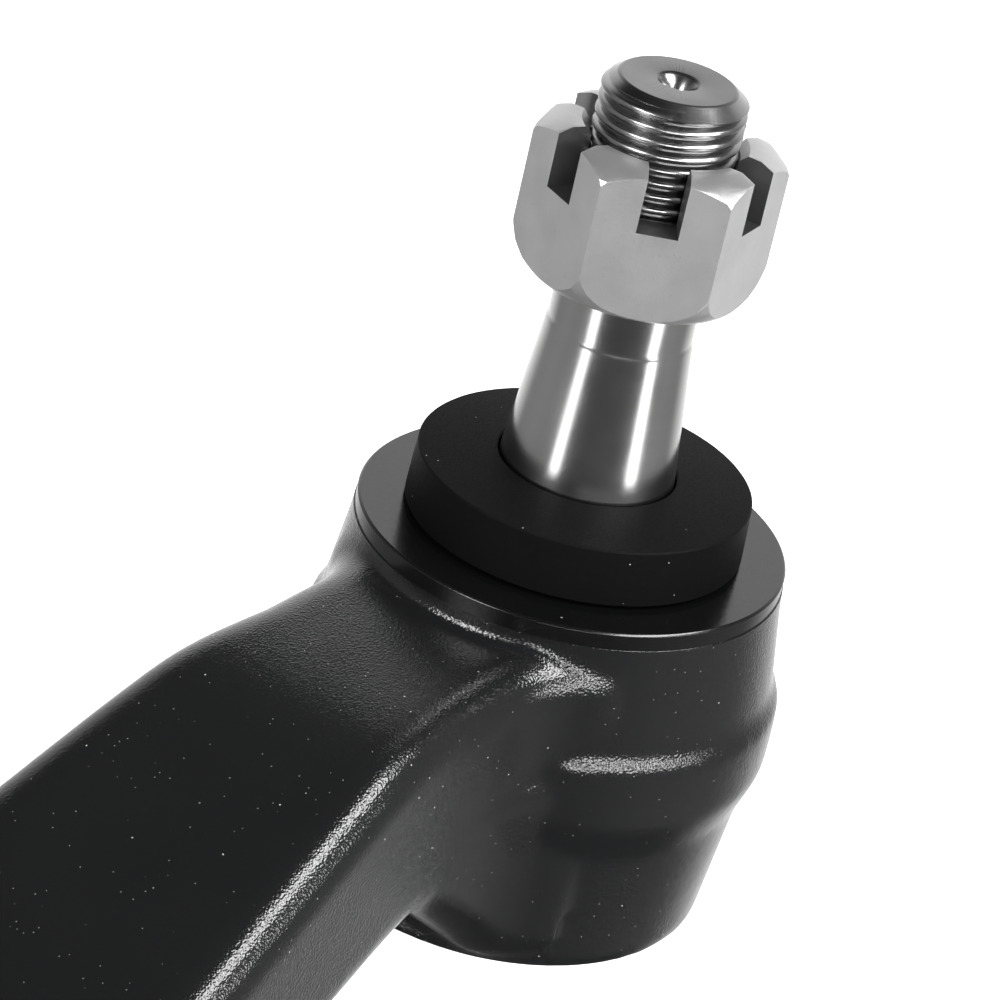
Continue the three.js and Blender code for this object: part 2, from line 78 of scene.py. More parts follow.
GAP = 0.3
stud_top = size_of("ball_stud", HIGH, 2)
nut_top = size_of("castle_nut", HIGH, 2)
nut_bottom = size_of("castle_nut", LOW, 2)
seal_foot = size_of("dust_seal", LOW, 2)
seal_crown = size_of("dust_seal", HIGH, 2)
seal_r = size_of("dust_seal", HIGH, 0)
face = seal_foot - GAP
cover_top = size_of("disc_spring", LOW, 2) - GAP
cover_bottom = cover_top - 2.5
base = cover_bottom - 1.2
belt_r = -size_of("housing_forging", LOW, 0)
eye_r = belt_r - 2.9
bore_r = belt_r - 8.9
bore_top = face - 8.5
recess_r = bore_r + 1.5
thread_r = 8.0
taper_top = nut_bottom - 5.5
taper_start = face + 5.5
taper_low_r = thread_r + (taper_top - taper_start) / 10
across_flats = 24.0

# forged arm
SLOPE = math.tan(math.radians(25.3))
SHOULDER = face - 4.2
ARM_LINE = face + 17.7
NECK_X = 36.0
ARM_WIDEST_X = 88.0
ARM_END_X = 126.0
ARM_HALF_NECK = 14.9
ARM_FLARE = 0.111
ARM_FILLET = 12.0
ARM_CORNER = 5.0
WEB_FILLET = 28.0
WEB_DRAFT = 0.86
COLLAR_R = 14.0
SHANK_R = 12.0
SHANK_LENGTH = 60.0
SHANK_PITCH = 1.5

# ---------------------------------------------------------------- modelling


def fresh():
    """Nothing selected, no mesh in edit mode."""
    if bpy.context.object and bpy.context.object.mode != "OBJECT":
        bpy.ops.object.mode_set(mode="OBJECT")
    bpy.ops.object.select_all(action="DESELECT")


def only(piece):
    fresh()
    piece.select_set(True)
    bpy.context.view_layer.objects.active = piece


def edit(piece):
    only(piece)
    bpy.ops.object.mode_set(mode="EDIT")


def done(name):
    """Leaves edit mode, names the piece and puts its place in its mesh."""
    bpy.ops.object.mode_set(mode="OBJECT")
    bpy.ops.object.transform_apply(location=True, rotation=True, scale=True)
    piece = bpy.context.object
    piece.name = name
    piece.data.name = name
    return piece


def turned(name, profile, steps=128):
    """Spins a profile of (radius, height) points in millimetres round the stud's axis."""
    fresh()
    r, z = profile[0]
    bpy.ops.mesh.primitive_plane_add(size=MM, location=(r * MM, 0, z * MM))
    bpy.ops.object.transform_apply(location=True)
    bpy.ops.object.mode_set(mode="EDIT")
    bpy.ops.mesh.select_mode(type="VERT")
    bpy.ops.mesh.select_all(action="SELECT")
    bpy.ops.mesh.merge(type="CENTER")
    for (r0, z0), (r1, z1) in zip(profile, profile[1:]):
        step = ((r1 - r0) * MM, 0, (z1 - z0) * MM)
        bpy.ops.mesh.extrude_vertices_move(TRANSFORM_OT_translate={"value": step})
    bpy.ops.mesh.select_all(action="SELECT")
    bpy.ops.mesh.spin(steps=steps, angle=math.tau, center=(0, 0, 0), axis=(0, 0, 1))
    bpy.ops.mesh.select_all(action="SELECT")
    bpy.ops.mesh.remove_doubles(threshold=1e-6)
    bpy.ops.mesh.normals_make_consistent(inside=False)
    return done(name)


def rounding(centre_r, centre_z, radius, start, end, steps):
    """Profile points along an arc, angles in degrees from straight out."""
    points = []
    for i in range(steps + 1):
        a = math.radians(start + (end - start) * i / steps)
        points.append((centre_r + radius * math.cos(a), centre_z + radius * math.sin(a)))
    return points


def softened(profile, radius, steps=3):
    """The profile with each corner between its ends cut by a small arc."""
    points = [profile[0]]
    for before, corner, after in zip(profile, profile[1:], profile[2:]):
        c = Vector(corner)
        a = Vector(before) - c
        b = Vector(after) - c
        reach = min(radius, a.length * 0.45, b.length * 0.45)
        p, q = c + a.normalized() * reach, c + b.normalized() * reach
        for i in range(steps + 1):
            t = i / steps
            points.append(tuple((1 - t) ** 2 * p + 2 * t * (1 - t) * c + t * t * q))
    points.append(profile[-1])
    return points


def apply_modifier(piece, kind, **settings):
    only(piece)
    bpy.ops.object.modifier_add(type=kind)
    modifier = piece.modifiers[-1]
    for key, value in settings.items():
        setattr(modifier, key, value)
    bpy.ops.object.modifier_apply(modifier=modifier.name)


def combine(piece, tool, how):
    """Joins, cuts or trims a piece with a tool, which is used up."""
    apply_modifier(piece, "BOOLEAN", operation=how, object=tool, solver="EXACT")
    bpy.data.objects.remove(tool)


def threaded_rod(name, form, radius, depth, pitch, low, high, steps=64):
    """A screw thread with rounded crests and roots, running past both ends, to be trimmed."""
    turns = math.ceil((high - low) / pitch) + 3
    crest = [(radius - depth * d, pitch * t) for d, t in form]
    start = low - 1.5 * pitch
    fresh()
    bpy.ops.mesh.primitive_plane_add(size=MM, location=(crest[0][0] * MM, 0, start * MM))
    bpy.ops.object.transform_apply(location=True)
    bpy.ops.object.mode_set(mode="EDIT")
    bpy.ops.mesh.select_mode(type="VERT")
    bpy.ops.mesh.select_all(action="SELECT")
    bpy.ops.mesh.merge(type="CENTER")
    for (r0, z0), (r1, z1) in zip(crest, crest[1:]):
        step = ((r1 - r0) * MM, 0, (z1 - z0) * MM)
        bpy.ops.mesh.extrude_vertices_move(TRANSFORM_OT_translate={"value": step})
    piece = done(name)
    apply_modifier(piece, "SCREW", axis="Z", angle=math.tau, screw_offset=pitch * MM, iterations=turns,
                   steps=steps, render_steps=steps, use_smooth_shade=True)
    edit(piece)
    bpy.ops.mesh.select_all(action="SELECT")
    bpy.ops.mesh.remove_doubles(threshold=2e-6)
    bpy.ops.mesh.select_all(action="DESELECT")
    bpy.ops.mesh.fill_holes(sides=0)
    bpy.ops.mesh.select_all(action="SELECT")
    bpy.ops.mesh.fill_holes(sides=0)
    bpy.ops.mesh.select_all(action="SELECT")
    bpy.ops.mesh.normals_make_consistent(inside=False)
    return done(name)


# share of the depth, share of the pitch: root, flank, rounded crest, flank, root
ROLLED_THREAD = [
    (1.0, 0.0), (0.93, 0.07), (0.60, 0.17), (0.22, 0.26), (0.06, 0.36), (0.0, 0.48),
    (0.0, 0.56), (0.06, 0.68), (0.22, 0.78), (0.60, 0.87), (0.93, 0.95), (1.0, 1.0),
]
PLAIN_THREAD = [(1.0, 0.0), (0.9, 0.1), (0.1, 0.42), (0.0, 0.5), (0.1, 0.58), (0.9, 0.9), (1.0, 1.0)]


def smooth(piece, degrees=35):
    """Smooth shading that keeps large faces flat and sharp corners sharp."""
    only(piece)
    bpy.ops.object.shade_smooth_by_angle(angle=math.radians(degrees))
    apply_modifier(piece, "WEIGHTED_NORMAL", mode="FACE_AREA", weight=80, keep_sharp=True)


def finish(piece, body, slot, replaced, *materials):
    """Puts a modelled piece in place of its CAD node."""
    piece.data.materials.clear()
    for m in materials:
        piece.data.materials.append(m)
    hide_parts(replaced)
    if body:
        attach(piece, body)


# ---------------------------------------------------------------- shader groups


def group(name, inputs, outputs):
    """A shader node group with named values in and out."""
    tree = bpy.data.node_groups.new(name, "ShaderNodeTree")
    for label, value in inputs:
        socket = tree.interface.new_socket(label, in_out="INPUT", socket_type="NodeSocketFloat")
        socket.default_value = value
    for label, kind in outputs:
        tree.interface.new_socket(label, in_out="OUTPUT", socket_type=kind)
    return tree, tree.nodes.new("NodeGroupInput"), tree.nodes.new("NodeGroupOutput")


def mathnode(tree, operation, a, b=None):
    node = tree.nodes.new("ShaderNodeMath")
    node.operation = operation
    for socket, value in zip(node.inputs, (a, b)):
        if isinstance(value, bpy.types.NodeSocket):
            tree.links.new(value, socket)
        elif value is not None:
            socket.default_value = value
    return node.outputs[0]


def plus(tree, a, b):
    return mathnode(tree, "ADD", a, b)


def times(tree, a, b):
    return mathnode(tree, "MULTIPLY", a, b)


def mapped(tree, value, low, high, to_low=0.0, to_high=1.0):
    node = tree.nodes.new("ShaderNodeMapRange")
    tree.links.new(value, node.inputs["Value"])
    for key, number in (("From Min", low), ("From Max", high), ("To Min", to_low), ("To Max", to_high)):
        if isinstance(number, bpy.types.NodeSocket):
            tree.links.new(number, node.inputs[key])
        else:
            node.inputs[key].default_value = number
    return node.outputs["Result"]


def place(tree, scale=(1, 1, 1), turn=(0, 0, 0)):
    """Object coordinates, stretched and turned."""
    coordinates = tree.nodes.new("ShaderNodeTexCoord")
    mapping = tree.nodes.new("ShaderNodeMapping")
    mapping.inputs["Scale"].default_value = scale
    mapping.inputs["Rotation"].default_value = turn
    tree.links.new(coordinates.outputs["Object"], mapping.inputs["Vector"])
    return mapping.outputs["Vector"]


def noise(tree, vector, scale, detail=2.0, roughness=0.5):
    node = tree.nodes.new("ShaderNodeTexNoise")
    node.inputs["Detail"].default_value = detail
    node.inputs["Roughness"].default_value = roughness
    tree.links.new(vector, node.inputs["Vector"])
    if isinstance(scale, bpy.types.NodeSocket):
        tree.links.new(scale, node.inputs["Scale"])
    else:
        node.inputs["Scale"].default_value = scale
    return node.outputs["Fac"]


def speckle_group():
    """Sparse tiny grains as a mask: dust and pits, and on the coat painted glints."""
    inputs = [("Density", 0.5), ("Scale", 900.0)]
    tree, into, out = group("fine specks", inputs, [("Mask", "NodeSocketFloat")])
    cells = tree.nodes.new("ShaderNodeTexVoronoi")
    tree.links.new(place(tree), cells.inputs["Vector"])
    tree.links.new(into.outputs["Scale"], cells.inputs["Scale"])
    near = mapped(tree, cells.outputs["Distance"], 0.13, 0.07)
    pick = tree.nodes.new("ShaderNodeSeparateColor")
    tree.links.new(cells.outputs["Color"], pick.inputs["Color"])
    chosen = mathnode(tree, "LESS_THAN", pick.outputs["Red"], into.outputs["Density"])
    tree.links.new(times(tree, near, chosen), out.inputs["Mask"])
    return tree


def blasted_group():
    """Height of a shot-blasted forging under a coat: small dimples over a slow unevenness."""
    tree, into, out = group(
        "blasted forging",
        [("Dimple Scale", 1300.0), ("Dimples", 1.0), ("Waves", 1.0)],
        [("Height", "NodeSocketFloat"), ("Patches", "NodeSocketFloat")],
    )
    at = place(tree)
    cells = tree.nodes.new("ShaderNodeTexVoronoi")
    cells.feature = "SMOOTH_F1"
    cells.inputs["Smoothness"].default_value = 0.6
    tree.links.new(at, cells.inputs["Vector"])
    tree.links.new(into.outputs["Dimple Scale"], cells.inputs["Scale"])
    grain = noise(tree, at, 2600, 2)
    waves = noise(tree, at, 110, 3)
    dimples = plus(tree, times(tree, cells.outputs["Distance"], 0.7), times(tree, grain, 0.55))
    dimpled = times(tree, dimples, into.outputs["Dimples"])
    height = plus(tree, dimpled, times(tree, waves, into.outputs["Waves"]))
    tree.links.new(height, out.inputs["Height"])
    tree.links.new(noise(tree, at, 45, 3), out.inputs["Patches"])
    return tree


def turned_group():
    """Fine rings that a lathe or grinder leaves round the stud's axis."""
    tree, into, out = group("lathe rings", [("Rings", 1.0)], [("Height", "NodeSocketFloat")])
    fine = noise(tree, place(tree, (60, 60, 9000)), 1.0, 3, 0.6)
    broad = noise(tree, place(tree, (25, 25, 1800)), 1.0, 2, 0.5)
    height = plus(tree, times(tree, fine, 0.6), times(tree, broad, 0.4))
    tree.links.new(times(tree, height, into.outputs["Rings"]), out.inputs["Height"])
    return tree


SPECKS = speckle_group()
BLASTED = blasted_group()
RINGS = turned_group()


def use(tree, group_tree, **values):
    node = tree.nodes.new("ShaderNodeGroup")
    node.node_tree = group_tree
    for key, value in values.items():
        node.inputs[key.replace("_", " ")].default_value = value
    return node


def new_material(name, **shader):
    material = bpy.data.materials.new(name)
    material.use_nodes = True
    tree = material.node_tree
    principled = tree.nodes["Principled BSDF"]
    for key, value in shader.items():
        principled.inputs[key.replace("_", " ")].default_value = value
    return material, tree, principled


def colour_mix(tree, factor, low, high):
    node = tree.nodes.new("ShaderNodeMix")
    node.data_type = "RGBA"
    tree.links.new(factor, node.inputs["Factor"])
    for socket, value in ((node.inputs["A"], low), (node.inputs["B"], high)):
        if isinstance(value, bpy.types.NodeSocket):
            tree.links.new(value, socket)
        else:
            socket.default_value = (*value, 1)
    return node.outputs["Result"]


def bumped(tree, principled, height, strength, distance):
    bump = tree.nodes.new("ShaderNodeBump")
    bump.inputs["Strength"].default_value = strength
    bump.inputs["Distance"].default_value = distance
    tree.links.new(height, bump.inputs["Height"])
    tree.links.new(bump.outputs["Normal"], principled.inputs["Normal"])


def coated_forging():
    material, tree, shader = new_material("coated forging")
    blasted = use(tree, BLASTED, Dimple_Scale=4200.0, Dimples=1.0, Waves=0.12)
    # The grey and the bright specks on the coat are painted glints: small highlight dots painted into the
    # colour.
    specks = use(tree, SPECKS, Density=0.16, Scale=1500.0)
    bright = use(tree, SPECKS, Density=0.035, Scale=1200.0)
    patches = mapped(tree, blasted.outputs["Patches"], 0.2, 0.8)
    tone = colour_mix(tree, patches, (0.0062, 0.0065, 0.0068), (0.0078, 0.0081, 0.0084))
    painted_glints = colour_mix(tree, specks.outputs["Mask"], tone, (0.16, 0.16, 0.155))
    speckled = colour_mix(tree, bright.outputs["Mask"], painted_glints, (0.4, 0.4, 0.38))
    tree.links.new(speckled, shader.inputs["Base Color"])
    rough = mapped(tree, blasted.outputs["Patches"], 0.2, 0.8, 0.15, 0.18)
    tree.links.new(rough, shader.inputs["Roughness"])
    bumped(tree, shader, blasted.outputs["Height"], 0.8, 0.00006)
    return material


def coated_turned():
    material, tree, shader = new_material("coated turned face")
    rings = use(tree, RINGS, Rings=1.0)
    specks = use(tree, SPECKS, Density=0.012, Scale=700.0)
    # Darker than the forging coat: painted shade, standing for the seal's shadow over the face; the rings are
    # real.
    tone = colour_mix(tree, rings.outputs["Height"], (0.002, 0.0021, 0.0023), (0.0035, 0.0037, 0.0039))
    speckled = colour_mix(tree, specks.outputs["Mask"], tone, (0.4, 0.4, 0.4))
    tree.links.new(speckled, shader.inputs["Base Color"])
    grain = noise(tree, place(tree), 3000, 2)
    tree.links.new(mapped(tree, grain, 0.3, 0.7, 0.16, 0.22), shader.inputs["Roughness"])
    bumped(tree, shader, plus(tree, grain, rings.outputs["Height"]), 0.12, 0.00005)
    return material


def moulded_rubber():
    material, tree, shader = new_material("moulded rubber", Specular_IOR_Level=0.06)
    at = place(tree)
    grain = noise(tree, at, 4200, 3, 0.6)
    cloud = noise(tree, at, 120, 3)
    specks = use(tree, SPECKS, Density=0.03, Scale=1300.0)
    tone = colour_mix(tree, cloud, (0.002, 0.0021, 0.0023), (0.0032, 0.0033, 0.0035))
    speckled = colour_mix(tree, specks.outputs["Mask"], tone, (0.35, 0.35, 0.35))
    tree.links.new(speckled, shader.inputs["Base Color"])
    tree.links.new(mapped(tree, grain, 0.3, 0.7, 0.5, 0.66), shader.inputs["Roughness"])
    bumped(tree, shader, grain, 0.25, 0.00005)
    return material


def ground_steel(name, tone, rough, rings_strength):
    material, tree, shader = new_material(name, Metallic=1.0)
    rings = use(tree, RINGS, Rings=1.0)
    dark = tuple(c * 0.86 for c in tone)
    tree.links.new(colour_mix(tree, rings.outputs["Height"], dark, tone), shader.inputs["Base Color"])
    cloud = noise(tree, place(tree), 160, 3)
    tree.links.new(mapped(tree, cloud, 0.3, 0.7, rough * 0.85, rough * 1.2), shader.inputs["Roughness"])
    bumped(tree, shader, rings.outputs["Height"], rings_strength, 0.00004)
    return material


def plated_steel(name, tone, rough, metallic=1.0):
    material, tree, shader = new_material(name, Metallic=metallic)
    at = place(tree)
    grain = noise(tree, at, 3500, 3, 0.65)
    cloud = noise(tree, at, 190, 4)
    pits = use(tree, SPECKS, Density=0.12, Scale=2200.0)
    dark = tuple(c * 0.9 for c in tone)
    plain = colour_mix(tree, mapped(tree, cloud, 0.35, 0.65), dark, tone)
    pitted = tuple(c * 0.45 for c in tone)
    tree.links.new(colour_mix(tree, pits.outputs["Mask"], plain, pitted), shader.inputs["Base Color"])
    tree.links.new(mapped(tree, grain, 0.3, 0.7, rough * 0.85, rough * 1.2), shader.inputs["Roughness"])
    bumped(tree, shader, plus(tree, grain, times(tree, cloud, 1.5)), 0.18, 0.00006)
    return material


BLACK = coated_forging()
BLACK_TURNED_SHADE = coated_turned()
RUBBER = moulded_rubber()
STUD_STEEL = ground_steel("ground stud steel", (0.56, 0.56, 0.555), 0.19, 0.14)
ZINC = plated_steel("zinc plated steel", (0.52, 0.52, 0.523), 0.34, 0.8)
# Darker copies of the stud steel: painted shade on the end face and on the thread.
STUD_END_SHADE = ground_steel("turned stud end", (0.2, 0.2, 0.2), 0.3, 0.3)
STUD_THREAD_SHADE = ground_steel("rolled thread", (0.33, 0.33, 0.33), 0.24, 0.12)
# Darker copy of the zinc plating: painted shade in the nut's slots and bore.
ZINC_SLOT_SHADE = plated_steel("plated slots with painted shade", (0.15, 0.15, 0.152), 0.38, 0.85)
BRONZE = plated_steel("oiled bearing metal", (0.3, 0.21, 0.13), 0.42)
HARD_STEEL = ground_steel("hardened ball steel", (0.32, 0.32, 0.33), 0.16, 0.15)
SPRING_STEEL = plated_steel("oiled spring steel", (0.11, 0.11, 0.12), 0.36)

# ---------------------------------------------------------------- forged housing


def rounded_min(a, b, blend):
    return (a + b - math.sqrt((a - b) ** 2 + blend ** 2)) / 2


def smoothstep(x, low, high):
    t = min(1, max(0, (x - low) / (high - low)))
    return t * t * (3 - 2 * t)


def arm_top(x):
    return rounded_min(SHOULDER - 0.06 * (x - 32), ARM_LINE - SLOPE * x, 2.2)


def arm_bottom(x):
    underside = ARM_LINE - SLOPE * x - (28.7 - 0.06 * (x - NECK_X))
    heel = base + 1.5 + 0.85 * max(0, x - 20.8)
    return rounded_min(underside, heel, 5)


def arm_half_width(x, fillet_r=ARM_FILLET):
    """Half the arm's width, which opens into the eye by a fillet and flares towards the shank."""
    fillet_y = ARM_HALF_NECK + fillet_r
    fillet_x = math.sqrt((eye_r + 1.7 + fillet_r) ** 2 - fillet_y ** 2)
    if x < fillet_x:
        reach = min(fillet_x - x, fillet_r * 0.8)
        return fillet_y - math.sqrt(fillet_r ** 2 - reach ** 2)
    flared = ARM_HALF_NECK + ARM_FLARE * max(0, min(x, ARM_WIDEST_X) - NECK_X)
    return flared + (COLLAR_R - flared) * smoothstep(x, ARM_WIDEST_X, ARM_END_X)


def arm_half_height(x):
    t = smoothstep(x, ARM_WIDEST_X, ARM_END_X)
    collar = COLLAR_R / math.cos(math.atan(SLOPE))
    return (1 - t) * (arm_top(x) - arm_bottom(x)) / 2 + t * collar


def eye_blank():
    """The forging round the ball before it is turned."""
    belt = -3.5
    outline = [
        (0, base),
        *rounding(22, base + 1.5, 1.5, -90, 0, 5),
        (bore_r + 7, belt - 8.5),
        (bore_r + 7.3, belt - 6.5),
        (belt_r - 0.4, belt - 3),
        (belt_r, belt - 1.6),
        (belt_r, belt + 2.5),
        (belt_r - 0.1, belt + 5.4),
        (bore_r + 7.75, belt + 6.6),
        (eye_r + 0.45, face - 5),
        (eye_r + 0.12, face - 2),
        (eye_r + 0.1, face + 1.5),
        (0, face + 1.5),
    ]
    return turned("eye_blank", outline, 144)


def drawn_block(name, stations, middle, half_width, half_height, corner):
    """A block drawn out along the arm by extruding its end, station by station."""
    inner = stations[0]
    half_w, half_h = half_width(inner), half_height(inner)
    here = Vector((inner, 0, middle(inner)))
    fresh()
    bpy.ops.mesh.primitive_plane_add(size=2 * MM, location=here * MM, rotation=(0, math.pi / 2, 0))
    bpy.ops.object.transform_apply(location=True, rotation=True)
    bpy.ops.object.mode_set(mode="EDIT")
    bpy.ops.mesh.select_all(action="SELECT")
    bpy.ops.transform.resize(value=(1, half_w, half_h), center_override=here * MM)
    for x in stations[1:]:
        there = Vector((x, 0, middle(x)))
        bpy.ops.mesh.extrude_region_move(TRANSFORM_OT_translate={"value": (there - here) * MM})
        grow = (1, half_width(x) / half_w, half_height(x) / half_h)
        bpy.ops.transform.resize(value=grow, center_override=there * MM)
        half_w, half_h, here = half_width(x), half_height(x), there
    bpy.ops.mesh.select_all(action="SELECT")
    bpy.ops.mesh.remove_doubles(threshold=1e-6)
    bpy.ops.mesh.normals_make_consistent(inside=False)
    piece = done(name)
    round_long_edges(piece, corner)
    return piece


def arm_blank():
    near = [16 + 2 * i for i in range(19)]
    far = [58 + 6 * i for i in range(11)] + [122, ARM_END_X]

    def middle(x):
        return (arm_top(x) + arm_bottom(x)) / 2

    return drawn_block("arm_blank", near + far, middle, arm_half_width, arm_half_height, ARM_CORNER)


def web_blank():
    """The wide web that carries the arm's sides into the belt and the boss."""
    def top(x):
        return 2.6 + (arm_top(x) - 5.4) * smoothstep(x, 28, 42)

    def low(x):
        return arm_bottom(x) + 0.2

    def middle(x):
        return (top(x) + low(x)) / 2

    def half_height(x):
        return (top(x) - low(x)) / 2

    def half_width(x):
        return arm_half_width(x, WEB_FILLET)

    stations = [18 + 1.5 * i for i in range(20)]
    piece = drawn_block("web_blank", stations, middle, half_width, half_height, ARM_CORNER)
    edit(piece)
    bpy.ops.mesh.select_all(action="DESELECT")
    bpy.ops.object.mode_set(mode="OBJECT")
    for v in piece.data.vertices:
        v.select = v.co.z / MM < middle(v.co.x / MM)
    bpy.ops.object.mode_set(mode="EDIT")
    bpy.ops.transform.resize(value=(1, WEB_DRAFT, 1), center_override=(0, 0, 0))
    bpy.ops.object.mode_set(mode="OBJECT")
    return piece


def round_long_edges(piece, corner):
    """Rounds the block's four long corners."""
    edit(piece)
    bpy.ops.mesh.select_all(action="DESELECT")
    bpy.ops.mesh.select_mode(type="EDGE")
    bpy.ops.object.mode_set(mode="OBJECT")
    mesh = piece.data
    for e in mesh.edges:
        a, b = (mesh.vertices[i].co for i in e.vertices)
        e.select = abs(a.x - b.x) > 0.5 * MM
    bpy.ops.object.mode_set(mode="EDIT")
    bpy.ops.mesh.bevel(offset=corner * MM, segments=8, profile=0.5, affect="EDGES", clamp_overlap=True)
    bpy.ops.object.mode_set(mode="OBJECT")


def shank_start():
    return Vector((ARM_END_X, 0, (arm_top(ARM_END_X) + arm_bottom(ARM_END_X)) / 2))


def along_arm(piece):
    """Turns a piece modelled upright on the stud's axis so that it runs out along the arm."""
    only(piece)
    piece.rotation_euler = (0, math.pi / 2 + math.atan(SLOPE), 0)
    piece.location = shank_start() * MM
    bpy.ops.object.transform_apply(location=True, rotation=True)


def collar_blank():
    outline = [
        (0, -14), (COLLAR_R - 0.5, -14), (COLLAR_R, 0), (COLLAR_R, 7.6),
        (SHANK_R - 1, 10.6), (SHANK_R - 1, 16), (0, 16)]
    piece = turned("collar_blank", outline, 96)
    along_arm(piece)
    return piece


def shank():
    rod = threaded_rod("shank_thread", PLAIN_THREAD, SHANK_R, 0.9, SHANK_PITCH, 9, SHANK_LENGTH, 56)
    trim = turned("trim", [
        (0, 8), (SHANK_R - 1.1, 8), (SHANK_R - 1.0, 10.2), (SHANK_R + 0.4, 11.6),
        (SHANK_R + 0.4, SHANK_LENGTH - 1.4), (SHANK_R - 1.8, SHANK_LENGTH), (0, SHANK_LENGTH)], 96)
    combine(rod, trim, "INTERSECT")
    along_arm(rod)
    return rod


def housing_forging():
    blank = eye_blank()
    combine(blank, arm_blank(), "UNION")
    combine(blank, web_blank(), "UNION")
    combine(blank, collar_blank(), "UNION")
    apply_modifier(blank, "REMESH", mode="VOXEL", voxel_size=0.62 * MM, use_smooth_shade=True)
    apply_modifier(blank, "SMOOTH", factor=0.5, iterations=11)
    outside = eye_r + 3.5
    machined = turned("machined", softened([
        (outside, face - 2.0), (eye_r, face - 2.0), (eye_r, face - 0.22), (eye_r - 0.22, face),
        (0, face), (0, face + 6), (outside, face + 6), (outside, face - 2.0)], 0.06), 192)
    combine(blank, machined, "DIFFERENCE")
    rim_r = recess_r - 1.2
    socket = turned("socket", [
        (0, base - 4), (recess_r - 0.9, base - 4), (recess_r - 0.9, base), (rim_r, base + 0.3),
        (rim_r, base + 0.9), (recess_r, base + 0.9), (recess_r, cover_top + 0.3), (bore_r, cover_top + 0.3),
        (bore_r, bore_top), (12.9, bore_top), (15.2, face), (15.2, face + 2), (0, face + 2)], 128)
    combine(blank, socket, "DIFFERENCE")
    combine(blank, shank(), "UNION")
    smooth(blank, 32)
    finish(blank, "housing", "black_coat", "housing_forging", BLACK, BLACK_TURNED_SHADE)
    # The face and the bore take the darker turned coat, painted shade.
    for face_ in blank.data.polygons:
        c = face_.center / MM
        r = math.hypot(c.x, c.y)
        face_.material_index = int((r < eye_r + 0.05 and c.z > face - 1.95) or r < bore_r + 1)
    blank.name = "forged_housing"
    return blank


housing_forging()

# ---------------------------------------------------------------- stud


def ball_stud():
    ball_r, flat = 15.0, 11.0
    low = -math.degrees(math.asin(flat / ball_r))
    outline = [
        (0, -flat),
        (math.sqrt(ball_r ** 2 - flat ** 2) - 0.3, -flat),
        *rounding(0, 0, ball_r, low + 1.5, -1, 14),
        (ball_r - 0.3, 0),
        (8.25, 0),
        (8.25, taper_start - 3.2),
        (8.6, taper_start - 2.3),
        (taper_low_r - 0.3, taper_start - 0.5),
        (taper_low_r, taper_start),
        (thread_r + 0.12, taper_top - 0.9),
        (thread_r + 0.02, taper_top - 0.6),
        (thread_r - 0.06, taper_top - 0.1),
        (thread_r - 0.06, nut_bottom + 1.0),
        (thread_r - 1.8, nut_bottom + 2.6),
        (thread_r - 1.8, nut_bottom + 4),
        (0, nut_bottom + 4),
    ]
    body = turned("stud", outline, 160)
    rod = threaded_rod("stud_thread", ROLLED_THREAD, thread_r, 0.9, 1.5, nut_bottom + 2, stud_top, 96)
    outside = thread_r + 0.3
    end_bevel = softened([
        (thread_r + 0.1, stud_top - 1.35), (thread_r - 1.55, stud_top - 0.12),
        (thread_r - 1.75, stud_top), (0, stud_top)], 0.25)
    trim = turned("trim", [
        (0, nut_bottom + 1.5), (thread_r - 1.05, nut_bottom + 1.5), (outside, nut_bottom + 3),
        (outside, stud_top - 1.45), *end_bevel], 128)
    combine(rod, trim, "INTERSECT")
    combine(body, rod, "UNION")
    centre = turned("centre", [
        (0, stud_top - 3.6), (0.55, stud_top - 3.6), (0.55, stud_top - 2.5), (2.1, stud_top - 0.3),
        (2.5, stud_top + 0.02), (2.5, stud_top + 1), (0, stud_top + 1)], 64)
    combine(body, centre, "DIFFERENCE")
    fresh()
    bpy.ops.mesh.primitive_cylinder_add(
        vertices=48, radius=2 * MM, depth=24 * MM, rotation=(0, math.pi / 2, math.radians(-22.5)),
        location=(0, 0, (nut_top - 6.8 + 2.3) * MM))
    cross_hole = bpy.context.object
    bpy.ops.object.transform_apply(location=True, rotation=True)
    combine(body, cross_hole, "DIFFERENCE")
    smooth(body, 40)
    finish(body, "stud", "ground_steel", "ball_stud", STUD_STEEL, STUD_END_SHADE, STUD_THREAD_SHADE)
    # The end face and the thread take the darker copies, painted shade.
    for face_ in body.data.polygons:
        z = face_.center.z / MM
        face_.material_index = 1 if z > stud_top - 0.3 else 2 if z > nut_bottom + 2.5 else 0
    body.name = "tapered_stud"
    return body


ball_stud()

# ---------------------------------------------------------------- dust seal


def dust_seal():
    outline = [
        (15.9, seal_foot),
        (seal_r - 0.3, seal_foot),
        (seal_r, seal_foot + 0.3),
        (seal_r - 0.1, seal_foot + 3),
        (seal_r - 0.25, seal_crown - 1.05),
        (seal_r - 0.42, seal_crown - 0.88),
        (seal_r - 4, seal_crown - 0.45),
        (10.2, seal_crown),
        (10.0, seal_crown - 0.12),
        (10.0, seal_crown - 0.4),
        (10.4, seal_crown - 0.8),
        (11.2, seal_crown - 1.4),
        (12.1, seal_crown - 2.2),
        (13.3, seal_crown - 3.2),
        (14.4, seal_crown - 4.2),
        (15.2, seal_crown - 5.2),
        (15.8, seal_crown - 6.3),
        (15.9, seal_foot),
    ]
    piece = turned("stud_seal", outline, 144)
    edit(piece)
    bpy.ops.mesh.select_all(action="SELECT")
    bpy.ops.mesh.bisect(plane_co=(0, 0, (seal_foot + 1.6) * MM), plane_no=(0, 0, 1))
    bpy.ops.mesh.select_all(action="SELECT")
    bpy.ops.mesh.bisect(plane_co=(0, 0, (seal_foot + 4.6) * MM), plane_no=(0, 0, 1))
    bpy.ops.object.mode_set(mode="OBJECT")
    smooth(piece, 35)
    finish(piece, None, "seal_rubber", "dust_seal", RUBBER)
    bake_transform(piece)
    return piece


dust_seal()

# ---------------------------------------------------------------- slotted nut


